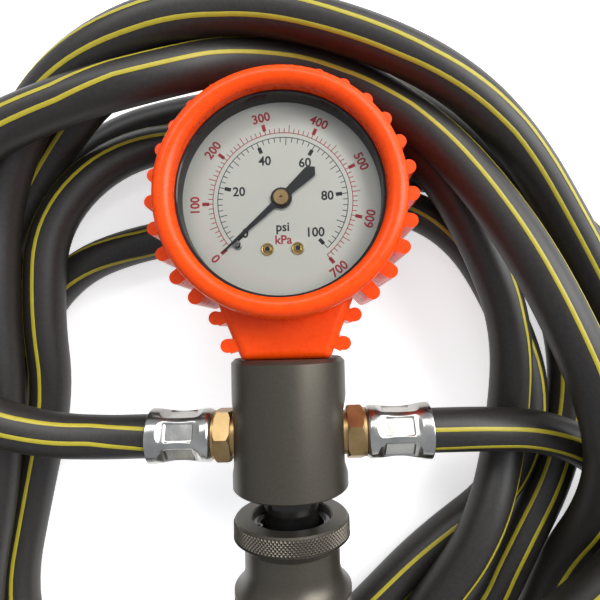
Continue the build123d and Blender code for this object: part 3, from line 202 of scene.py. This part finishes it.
# Hoses
# Points in mm. The lead and the end repeat the part's own routes; the turns lie between them.
hoses = {
    "left": {
        "lead": [(-43, 91.5, 0), (-49.5, 91.5, 0), (-61, 91.6, 1), (-77, 93.5, 6), (-94, 100, 12.5),
                 (-108.5, 112, 17.5)],
        "turns": [
            (-118, 127, 19), (-120, 147, 19), (-113, 169, 19), (-94, 187, 20), (-67, 199, 19),
            (-39, 207, 17), (-14, 218, 7), (19, 216, 2), (49, 193, 4), (66, 168, 10), (80, 138, 16),
            (97, 95, 15), (106, 64, -7), (98, 34, -26.7), (85, 5, -26.7), (62, -11, -26), (35, -26, -16),
            (2, -39, -9), (-37, -40, -2), (-77, -35, 3), (-109, -16, 2), (-122, 22, -1), (-123, 62, -7),
            (-124, 99, -16), (-121, 129, -24), (-106, 157, -26.7), (-93, 186, -25), (-71, 207, -24),
            (-34, 217, -26.7), (0, 219, -26.7), (30, 210, -21), (55, 185, -9), (71, 153, -9),
            (82, 123, -14), (80, 87, -20), (67, 54, -11), (49, 28, -15), (31, 2, -23), (-1, -14, -26.7),
            (-43, -33, -26.7), (-91, -31, -26.7), (-124, 7, -26.7), (-120, 66, -26.7), (-109, 121, -26.7),
            (-90, 152, -26), (-57, 164, -26.7), (-21, 166, -26.7), (10, 175, -26.7), (41, 177, -26),
            (68, 163, -26), (85, 132, -26.7), (94, 98, -26.7), (83, 65, -26.7), (50, 42, -26.7),
        ],
        "end": [(28, 22, -25.5), (14, 10.5, -23.5), (2.4, 2.8, -20), (-10.6, -2.1, -15.5),
                (-24.4, -4, -11.8), (-38.3, -2.8, -9.8)],
        "length": 2.05,
    },
    "right": {
        "lead": [(43, 91.5, 0), (49.5, 91.5, 0), (63.5, 91.5, -0.5), (82, 90, -4.5), (100, 84, -10),
                 (115, 73, -15.5)],
        "turns": [
            (122, 57, -24), (123, 35, -26.7), (113, 9, -26.7), (77, -22, -26.7), (36, -39, -26.7),
            (-6, -38, -24), (-48, -41, -15), (-86, -32, -12), (-111, -5, -13), (-115, 31, -14),
            (-108, 70, -13), (-104, 106, -10), (-103, 141, -3), (-98, 178, 3), (-77, 207, 13),
            (-44, 222, 21), (-10, 229, 17), (26, 220, 15), (56, 205, 13), (78, 186, 7), (99, 159, -4),
            (117, 127, -10), (128, 92, -7), (119, 59, 0), (94, 35, -1), (70, 13, -8), (46, -4, -12),
            (19, -11, -11), (-12, -14, -5), (-45, -21, 3), (-81, -22, 12), (-110, -3, 15), (-124, 30, 13),
            (-121, 69, 6), (-120, 105, -3), (-117, 137, -11), (-106, 166, -14), (-87, 193, -8),
            (-61, 215, 3), (-28, 226, 1), (6, 229, -6), (37, 217, -10), (67, 197, -10), (86, 172, -14),
            (102, 140, -22), (109, 105, -26.7), (101, 71, -26.7), (84, 42, -26), (71, 17, -26.7),
            (46, -5, -26.7), (17, -22, -22), (-14, -27, -12), (-56, -26, -13), (-93, -11, -25),
            (-111, 22, -26.7), (-102, 68, -26), (-92, 103, -21), (-92, 135, -13), (-88, 169, -9),
            (-64, 196, -14), (-29, 204, -24), (6, 198, -26.7), (40, 189, -26.7), (75, 185, -26.7),
            (104, 173, -26.7),
        ],
        "end": [(125.2, 149.3, -26), (135.8, 120.2, -20.2), (139.2, 89.4, -14.6), (132.4, 58.2, -9.8),
                (114, 32, -9.8)],
        "length": 2.5,
    },
}
hoseLook = {
    "radius": 7.25, "order": 3, "steps": 8, "roundness": 7,
    "stripeWide": 1.15, "stripeLift": 0.04, "stripeColour": (0.42, 0.35, 0.02), "stripeRoughness": 0.45,
    # Across a stripe: how far from its middle, in half widths, and how high, in lifts
    "stripeAcross": [(-1.15, -0.1), (-1, 1), (0, 1), (1, 1), (1.15, -0.1)],
}
# Where the two stripes lie round each hose, in degrees from straight up, at shares of its length
stripeTurns = {
    "left": [
        [(0, 27), (0.011, 42), (0.06, 34), (0.091, 26), (0.10, 8), (0.115, 10), (0.136, 14), (0.15, -2),
         (0.17, 3), (0.3, 20), (0.467, 53), (0.482, 90), (0.556, -36), (0.575, -26), (0.6, -58),
         (0.615, -38), (0.7, -5), (0.8, 38), (0.817, 60), (0.869, 12), (0.886, 38), (0.939, 20),
         (0.964, 30), (1, 20)],
        [(0, -26), (0.011, -4), (0.06, -6), (0.091, -12), (0.10, -40), (0.115, -45), (0.136, -38),
         (0.15, -56), (0.17, -58), (0.3, -30), (0.467, 18), (0.482, 55), (0.556, -86), (0.575, -76),
         (0.6, -108), (0.615, -88), (0.7, -60), (0.8, -48), (0.817, -26), (0.869, -55), (0.886, -14),
         (0.939, -38), (0.956, -45), (1, -40)],
    ],
    "right": [
        [(0, 43), (0.012, 37), (0.1, 28), (0.24, 0), (0.26, 36), (0.271, 45), (0.295, 41), (0.313, 22),
         (0.45, 30), (0.571, 25), (0.58, 40), (0.64, 36), (0.7, 50), (0.8, 10), (0.864, -8), (1, 10)],
        [(0, -12), (0.012, -11), (0.1, -20), (0.24, -48), (0.26, -17), (0.287, -3), (0.299, -3),
         (0.313, -21), (0.45, -25), (0.571, -40), (0.58, -10), (0.64, -12), (0.7, 2), (0.8, -40),
         (0.864, -57), (0.875, -60), (1, -40)],
    ],
}
stripeMaterial = plainMaterial("hose_stripe", hoseLook["stripeColour"], hoseLook["stripeRoughness"])


def hoseSpline(name, points, bevel):
    curve = bpy.data.curves.new(name, "CURVE")
    curve.dimensions = "3D"
    spline = curve.splines.new("NURBS")
    spline.points.add(len(points) - 1)
    for target, (x, y, z) in zip(spline.points, points):
        target.co = (x * mm, y * mm, z * mm, 1)
    spline.order_u = hoseLook["order"]
    spline.use_endpoint_u = True
    spline.resolution_u = hoseLook["steps"]
    curve.resolution_u = hoseLook["steps"]
    curve.bevel_depth = bevel * mm
    curve.bevel_resolution = hoseLook["roundness"]
    curve.use_fill_caps = bevel > 0
    return curve


# The points that the hose's own spline gives, for what follows it
def centreLine(points):
    probe = bpy.data.objects.new("probe", hoseSpline("probe", points, 0))
    scene.collection.objects.link(probe)
    line = bpy.data.meshes.new_from_object(probe)
    spots = [vertex.co.copy() for vertex in line.vertices]
    bpy.data.objects.remove(probe)
    return spots


# At each spot: the place, the way up out of the hose and the way across it
def stripStations(spots):
    stations = []
    for index, spot in enumerate(spots):
        ahead = spots[min(index + 1, len(spots) - 1)]
        behind = spots[max(index - 1, 0)]
        along = (ahead - behind).normalized()
        up = (Vector((0, 0, 1)) - along.z * along).normalized()
        stations.append((spot, up, along.cross(up)))
    return stations


def runLengths(spots):
    runs = [0.0]
    for before, after in zip(spots, spots[1:]):
        runs.append(runs[-1] + (after - before).length)
    return runs


def angleAt(marks, share):
    for (fromShare, fromAngle), (toShare, toAngle) in zip(marks, marks[1:]):
        if share <= toShare:
            blend = (share - fromShare) / (toShare - fromShare)
            return fromAngle + blend * (toAngle - fromAngle)
    return marks[-1][1]


# A thin strip that lies on the hose and turns round it as its marks say
def addStripe(name, turns, stations, runs):
    vertices, faces = [], []
    across = hoseLook["stripeAcross"]
    wide = len(across)
    halfAngle = hoseLook["stripeWide"] / 2 / hoseLook["radius"]
    for (spot, up, aside), run in zip(stations, runs):
        middle = math.radians(angleAt(turns, run / runs[-1]))
        for part, lift in across:
            angle = middle + part * halfAngle
            reach = (hoseLook["radius"] + lift * hoseLook["stripeLift"]) * mm
            vertices.append(spot + reach * (math.cos(angle) * up + math.sin(angle) * aside))
    for row in range(len(stations) - 1):
        for column in range(wide - 1):
            first = row * wide + column
            faces.append((first, first + 1, first + wide + 1, first + wide))
    stripe = addPiece(name, vertices, faces, stripeMaterial, "unit")
    return stripe


for side, hose in hoses.items():
    route = hose["lead"] + hose["turns"] + hose["end"]
    cord = bpy.data.objects.new(f"{side}Hose", hoseSpline(f"{side}Hose", route, hoseLook["radius"]))
    cord.data.materials.append(materials["hose_rubber"])
    scene.collection.objects.link(cord)
    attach(cord, "unit")
    spots = centreLine(route)
    stations, runs = stripStations(spots), runLengths(spots)
    print(side, "hose is", round(runs[-1], 3), "m long")
    stripes = [addStripe(f"{side}HoseStripe{number + 1}", turns, stations, runs)
               for number, turns in enumerate(stripeTurns[side])]
    if side == "left":
        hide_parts("left_hose_lead", "left_hose_end", "hose_coil_lower")
    else:
        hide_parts("right_hose_lead", "right_hose_end", "hose_coil_upper")
print("hoses laid")

# Dial print
# Places and sizes in mm, angles in degrees. A block mark is inner radius, outer radius and width;
# words are size, radius and angle.
dialLook = {
    "x": 0.4, "y": 165.8, "z": 15.2, "lift": 0.02, "start": 219.6,
    "line": 0.25, "longTick": 2.5, "shortTick": 1.5, "narrow": 0.97, "bold": 0.07 / 3, "arcSteps": 180,
    "turnPerPsi": 2.679, "psiArc": 20.3, "psiBlock": (16.6, 18.6, 1.15), "psiNumbers": 14.0,
    "psiSize": 4.05, "psiWord": (4.0, 8.7, 268.7),
    "psiShift": {0: (1.4, 0), 100: (0.3, 3.4)},  # the first and last numbers sit farther out or turned
    "turnPerKpa": 0.3886, "kpaArc": 21.8, "kpaBlock": (23.0, 25.2, 1.1), "kpaNumbers": 27.5,
    "kpaSize": 4.0, "kpaWord": (3.85, 12.2, 270),
    "kpaTurned": 600,  # from here on the numbers stand the other way up
    "black": (0.016, 0.016, 0.018), "red": (0.60, 0.030, 0.045), "roughness": 0.45,
}
printBlack = plainMaterial("dial_black_print", dialLook["black"], dialLook["roughness"])
printRed = plainMaterial("dial_red_print", dialLook["red"], dialLook["roughness"])


def dialSpot(radius, angle):
    turn = math.radians(angle)
    return Vector((dialLook["x"] + radius * math.cos(turn), dialLook["y"] + radius * math.sin(turn),
                   dialLook["z"] + dialLook["lift"])) * mm


# One printed mark, drawn along a radius as a flat block
def addTick(sketch, angle, inner, outer, wide):
    halfWide = Vector((-math.sin(math.radians(angle)), math.cos(math.radians(angle)), 0)) * wide / 2 * mm
    near, far = dialSpot(inner, angle), dialSpot(outer, angle)
    corners = (near - halfWide, far - halfWide, far + halfWide, near + halfWide)
    sketch.faces.new([sketch.verts.new(spot) for spot in corners])


def addArc(sketch, radius, fromAngle, toAngle):
    rows = []
    halfWide = dialLook["line"] / 2
    for step in range(dialLook["arcSteps"] + 1):
        angle = fromAngle + (toAngle - fromAngle) * step / dialLook["arcSteps"]
        rows.append([sketch.verts.new(dialSpot(radius + aside, angle)) for aside in (-halfWide, halfWide)])
    for (innerA, outerA), (innerB, outerB) in zip(rows, rows[1:]):
        sketch.faces.new((innerB, innerA, outerA, outerB))


def addWords(sketch, words, size, place, turn):
    text = bpy.data.curves.new("words", "FONT")
    text.body = words
    text.size = size * mm
    text.align_x = "CENTER"
    text.align_y = "CENTER"
    text.offset = dialLook["bold"] * size * mm
    text.resolution_u = 3
    holder = bpy.data.objects.new("words", text)
    scene.collection.objects.link(holder)
    letters = bpy.data.meshes.new_from_object(holder)
    spread = [vertex.co for vertex in letters.vertices]
    middle = [(min(co[k] for co in spread) + max(co[k] for co in spread)) / 2 for k in range(2)]
    letters.transform(Matrix.Translation(place) @ Matrix.Rotation(math.radians(turn), 4, "Z")
                      @ Matrix.Diagonal((dialLook["narrow"], 1, 1, 1))
                      @ Matrix.Translation(-Vector((*middle, 0))))
    sketch.from_mesh(letters)
    bpy.data.objects.remove(holder)


def printPiece(name, sketch, material):
    mesh = bpy.data.meshes.new(name)
    sketch.to_mesh(mesh)
    sketch.free()
    mesh.materials.append(material)
    piece = bpy.data.objects.new(name, mesh)
    scene.collection.objects.link(piece)
    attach(piece, "unit")


def tickLength(value, everyLong):
    return dialLook["longTick"] if value % everyLong == 0 else dialLook["shortTick"]


# The inner scale, in psi: black, marks towards the middle, upright numbers
def printPsi():
    sketch = bmesh.new()
    start, arc = dialLook["start"], dialLook["psiArc"]
    for psi in range(0, 101, 2):
        angle = start - psi * dialLook["turnPerPsi"]
        addTick(sketch, angle, arc - tickLength(psi, 10), arc, dialLook["line"])
        if psi % 20 == 0:
            addTick(sketch, angle, *dialLook["psiBlock"])
            farther, swing = dialLook["psiShift"].get(psi, (0, 0))
            place = dialSpot(dialLook["psiNumbers"] + farther, angle + swing)
            addWords(sketch, str(psi), dialLook["psiSize"], place, 0)
    addArc(sketch, arc, start, start - 100 * dialLook["turnPerPsi"])
    size, radius, angle = dialLook["psiWord"]
    addWords(sketch, "psi", size, dialSpot(radius, angle), 0)
    printPiece("psiScale", sketch, printBlack)


# The outer scale, in kPa: red, marks towards the rim, numbers that follow the arc
def printKpa():
    sketch = bmesh.new()
    start, arc = dialLook["start"], dialLook["kpaArc"]
    for kpa in range(0, 701, 10):
        angle = start - kpa * dialLook["turnPerKpa"]
        addTick(sketch, angle, arc, arc + tickLength(kpa, 50), dialLook["line"])
        if kpa % 100 == 0:
            addTick(sketch, angle, *dialLook["kpaBlock"])
            turn = angle - 90 if kpa < dialLook["kpaTurned"] else angle + 90
            addWords(sketch, str(kpa), dialLook["kpaSize"], dialSpot(dialLook["kpaNumbers"], angle), turn)
    addArc(sketch, arc, start, start - 700 * dialLook["turnPerKpa"])
    size, radius, angle = dialLook["kpaWord"]
    addWords(sketch, "kPa", size, dialSpot(radius, angle), 0)
    printPiece("kpaScale", sketch, printRed)


printPsi()
printKpa()
print("dial printed")

# Small turned pieces on the dial
# An outline is radius and height over the base in mm, from the outside in
dialScrews = ((-4.7, 150.7), (4.7, 150.7))
turned = {
    "screwRims": {
        "places": dialScrews, "base": 15.2, "body": "unit", "finish": "movement_brass",
        "outline": ((2.0, 0.02), (1.98, 0.36), (1.88, 0.58), (1.72, 0.66), (1.56, 0.60), (1.44, 0.50),
                    (1.22, 0.50), (1.10, 0.60), (0.95, 0.72), (0.80, 0.70), (0.70, 0.58), (0.62, 0.52))},
    # A flat black disc in the middle of each screw, just below the rim's inner edge: painted shade standing
    # for the dark inside the screw's hole
    "screwHoleShade": {
        "places": dialScrews, "base": 15.2, "body": "unit", "finish": "pointer_black",
        "outline": ((0.64, 0.515), (0.3, 0.515), (0.01, 0.515))},
    "stopCollar": {
        "places": ((-13.92, 152.14),), "base": 15.2, "body": "unit", "finish": "plated_steel",
        "outline": ((1.40, 0.02), (1.38, 0.30), (1.25, 0.48), (1.05, 0.52), (0.88, 0.44), (0.80, 0.20))},
}


def addTurned(name, look, steps=48):
    vertices, faces, rings = [], [], len(look["outline"])
    for x, y in look["places"]:
        base = len(vertices)
        for radius, height in look["outline"]:
            for step in range(steps):
                angle = math.tau * step / steps
                spot = (x + radius * math.cos(angle), y + radius * math.sin(angle), look["base"] + height)
                vertices.append(Vector(spot) * mm)
        for ring in range(rings - 1):
            for step in range(steps):
                a = base + ring * steps + step
                b = base + ring * steps + (step + 1) % steps
                faces.append((a, b, b + steps, a + steps))
    piece = addPiece(name, vertices, faces, materials[look["finish"]], look["body"])


for name, look in turned.items():
    addTurned(name, look)
print("screw rims and stop collar set")

# Crimped ferrules
# A run is measured in mm from the back edge, beside the brass fitting, to the mouth
ferruleLook = {
    "y": 91.5, "back": 25.1, "long": 20.8, "roll": 1.6, "shoulder": 8.7, "waist": 8.0, "mouth": 9.2,
    "waistAt": 0.45, "flare": 1.25,
    "crimps": 6, "crimpMiddle": 10.3, "crimpLong": 8.8, "crimpWide": 5.4, "floor": 7.2, "round": 0.5,
    "wall": 0.34, "wallWide": 0.3,  # the steep edge round each flat
    "dish": 0.42, "endDish": 0.75, "dishFrom": 0.1, "bulge": 0.22, "bulgeFrom": 1.1, "blend": 0.4,
    "lip": ((0.15, 9.0), (0, 8.45), (-1.6, 7.4), (-4.2, 6.2)),  # run past the mouth and radius
    "backHole": 4.1, "around": 192, "rollRows": 6, "rows": 90,
    "turns": {"left": 18.0, "right": 22.0},  # degrees from straight up to the first crimp
}


def smoothStep(share):
    share = min(max(share, 0.0), 1.0)
    return share * share * (3 - 2 * share)


def softLower(first, second, reach):
    blend = max(reach - abs(first - second), 0) / reach
    return min(first, second) - blend * blend * reach / 4


# The cup before it is crimped: rolled back edge, low waist, belled mouth
def ferruleRadius(run):
    look = ferruleLook
    roll, waistAt = look["roll"], look["waistAt"]
    if run < roll:
        return look["shoulder"] - roll + math.sqrt(max(roll ** 2 - (roll - run) ** 2, 0))
    share = (run - roll) / (look["long"] - roll)
    if share < waistAt:
        return look["shoulder"] + (look["waist"] - look["shoulder"]) * smoothStep(share / waistAt)
    opened = smoothStep((share - waistAt) / (1 - waistAt)) ** look["flare"]
    return look["waist"] + (look["mouth"] - look["waist"]) * opened


def crimpedRadius(run, angle):
    look = ferruleLook
    plain = ferruleRadius(run)
    step = 2 * math.pi / look["crimps"]
    aside = (angle + step / 2) % step - step / 2
    flat = look["floor"] / math.cos(aside)
    along = abs(run - look["crimpMiddle"]) - look["crimpLong"] / 2 + look["round"]
    across = abs(flat * math.sin(aside)) - look["crimpWide"] / 2 + look["round"]
    away = math.hypot(max(along, 0), max(across, 0)) - look["round"]
    slope = look["dish"] * (look["endDish"] if along > across else 1.0)
    dented = flat + look["wall"] * smoothStep(away / look["wallWide"])
    dented += slope * max(away - look["dishFrom"], 0) + look["bulge"] * max(away - look["bulgeFrom"], 0) ** 2
    return softLower(plain, dented, look["blend"])


def addFerrule(side, direction):
    look = ferruleLook
    around, roll = look["around"], look["roll"]
    runs = [roll * (1 - math.cos(math.pi / 2 * k / look["rollRows"])) for k in range(look["rollRows"] + 1)]
    runs += [roll + (look["long"] - roll) * k / look["rows"] for k in range(1, look["rows"] + 1)]
    turn = math.radians(look["turns"][side])
    rows = [[(0.0, look["backHole"])] * around]
    for run in runs:
        rows.append([(run, crimpedRadius(run, math.tau * k / around)) for k in range(around)])
    for past, radius in look["lip"]:
        rows.append([(look["long"] + past, radius)] * around)
    vertices, faces = [], []
    for row in rows:
        for k, (run, radius) in enumerate(row):
            angle = math.tau * k / around + turn  # measured from straight up, towards the gauge
            height, y = radius * math.cos(angle), look["y"] + radius * math.sin(angle)
            vertices.append(Vector((direction * (look["back"] + run), y, height)) * mm)
    for r in range(len(rows) - 1):
        for k in range(around):
            nextK = (k + 1) % around
            corners = (r * around + k, r * around + nextK, (r + 1) * around + nextK, (r + 1) * around + k)
            faces.append(corners if direction < 0 else corners[::-1])
    ferrule = addPiece(f"{side}CrimpedFerrule", vertices, faces, materials["zinc_plate"], "unit")
    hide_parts(f"{side}_ferrule")


addFerrule("left", -1)
addFerrule("right", 1)
print("ferrules crimped")

# Knurled rings
# Each ring is its top and bottom on the sleeve, in mm
knurlLook = {
    "radius": 18.55, "high": 0.45, "edgeHigh": 0.02, "around": 96, "pitch": 1.28,
    "rings": {"upperKnurl": (64.95, 59.85), "lowerKnurl": (42.75, 34.6)},
}


# Diamond points in staggered rows round the sleeve
def addKnurl(name, top, bottom):
    look = knurlLook
    rows = 2 * round((top - bottom) / look["pitch"])
    columns = 2 * look["around"]
    vertices = []
    for row in range(rows + 1):
        y = bottom + (top - bottom) * row / rows
        for column in range(columns):
            raised = (row + column) % 2 == 1 and 0 < row < rows
            radius = look["radius"] + (look["high"] if raised else look["edgeHigh"])
            angle = math.tau * column / columns
            vertices.append(Vector((radius * math.sin(angle), y, radius * math.cos(angle))) * mm)
    faces = []
    for row in range(rows + 1):
        for column in range(columns):
            if (row + column) % 2 == 0:
                continue
            middle = row * columns + column
            right = row * columns + (column + 1) % columns
            left = row * columns + (column - 1) % columns
            if row < rows:
                faces += [(middle, right, middle + columns), (middle, middle + columns, left)]
            if row > 0:
                faces += [(middle, middle - columns, right), (middle, left, middle - columns)]
    knurl = addPiece(name, vertices, faces, materials["body_alloy"], "sleeve", smooth=False)


for name, (top, bottom) in knurlLook["rings"].items():
    addKnurl(name, top, bottom)
print("knurls cut")

# Floor, world, lamps and camera
stageLook = {"floorZ": -34.0, "size": 3.0, "colour": (0.9, 0.9, 0.9), "roughness": 0.9, "lift": 0.6}
worldLook = {"colour": (0.9, 0.93, 1.0), "strength": 0.5}
lamps = {
    "windowLamp": {"place": (0.75, 0.85, 0.9), "size": (1.2, 0.9), "power": 16, "colour": (1.0, 0.99, 0.97)},
    "fillLamp": {"place": (0.9, 0.3, 0.7), "size": (0.5, 1.1), "power": 8, "colour": (0.97, 0.98, 1.0)},
    "topLamp": {"place": (-0.3, 0.9, 0.9), "size": (0.9, 0.35), "power": 5, "colour": (1.0, 1.0, 1.0)},
}
aim = Vector((0, 0.12, 0))
# The camera looks down on the tool from over the body; its place is in mm, its tilt in radians
view = {
    "place": (8.267, 125.275, 152.966), "tilt": (-0.0686, -0.0239, 0.0281),
    "lens": 27.06, "sensor": 36, "nearest": 0.005,
}


def addMath(tree, operation, first, second):
    node = tree.nodes.new("ShaderNodeMath")
    node.operation = operation
    tree.links.new(first, node.inputs[0])
    if second is not None:
        tree.links.new(second, node.inputs[1])
    return node


# White where the camera sees it, straight or by way of metal and glass, with the tool's shadow kept
def makeFloorMaterial():
    material = bpy.data.materials.new("floor")
    material.use_nodes = True
    tree = material.node_tree
    shader = tree.nodes["Principled BSDF"]
    shader.inputs["Base Color"].default_value = (*stageLook["colour"], 1)
    shader.inputs["Roughness"].default_value = stageLook["roughness"]
    paths = tree.nodes.new("ShaderNodeLightPath")
    seen = addMath(tree, "MAXIMUM", paths.outputs["Is Camera Ray"], paths.outputs["Is Glossy Ray"])
    seenToo = addMath(tree, "MAXIMUM", seen.outputs[0], paths.outputs["Is Transmission Ray"])
    glow = addMath(tree, "MULTIPLY", seenToo.outputs[0], None)
    glow.inputs[1].default_value = stageLook["lift"]
    shader.inputs["Emission Color"].default_value = (1, 1, 1, 1)
    tree.links.new(glow.outputs[0], shader.inputs["Emission Strength"])
    return material


def addFloor():
    mesh = bpy.data.meshes.new("floor")
    half, z = stageLook["size"] / 2, stageLook["floorZ"] * mm
    corners = [(-half, -half, z), (half, -half, z), (half, half, z), (-half, half, z)]
    mesh.from_pydata(corners, [], [(0, 1, 2, 3)])
    mesh.materials.append(makeFloorMaterial())
    floor = bpy.data.objects.new("floor", mesh)
    scene.collection.objects.link(floor)


def addLamp(name, lamp):
    light = bpy.data.lights.new(name, "AREA")
    light.shape = "RECTANGLE"
    light.size, light.size_y = lamp["size"]
    light.energy = lamp["power"]
    light.color = lamp["colour"]
    holder = bpy.data.objects.new(name, light)
    holder.location = lamp["place"]
    holder.rotation_euler = (aim - Vector(lamp["place"])).to_track_quat("-Z", "Y").to_euler()
    scene.collection.objects.link(holder)


def addCamera():
    camera = bpy.data.objects.new("camera", bpy.data.cameras.new("camera"))
    camera.data.lens = view["lens"]
    camera.data.sensor_width = view["sensor"]
    camera.data.clip_start = view["nearest"]
    turnX, turnY, turnZ = view["tilt"]
    tilt = Matrix.Rotation(turnZ, 3, "Z") @ Matrix.Rotation(turnY, 3, "Y") @ Matrix.Rotation(turnX, 3, "X")
    place = Matrix.Translation([value * mm for value in view["place"]])
    camera.matrix_world = place @ tilt.transposed().to_4x4()
    scene.collection.objects.link(camera)
    scene.camera = camera


addFloor()
world = bpy.data.worlds.new("studio")
scene.world = world
world.use_nodes = True
background = world.node_tree.nodes["Background"]
background.inputs[0].default_value = (*worldLook["colour"], 1)
background.inputs[1].default_value = worldLook["strength"]
for name, lamp in lamps.items():
    addLamp(name, lamp)
addCamera()
scene.view_settings.view_transform = "Standard"
print("stage and camera set")
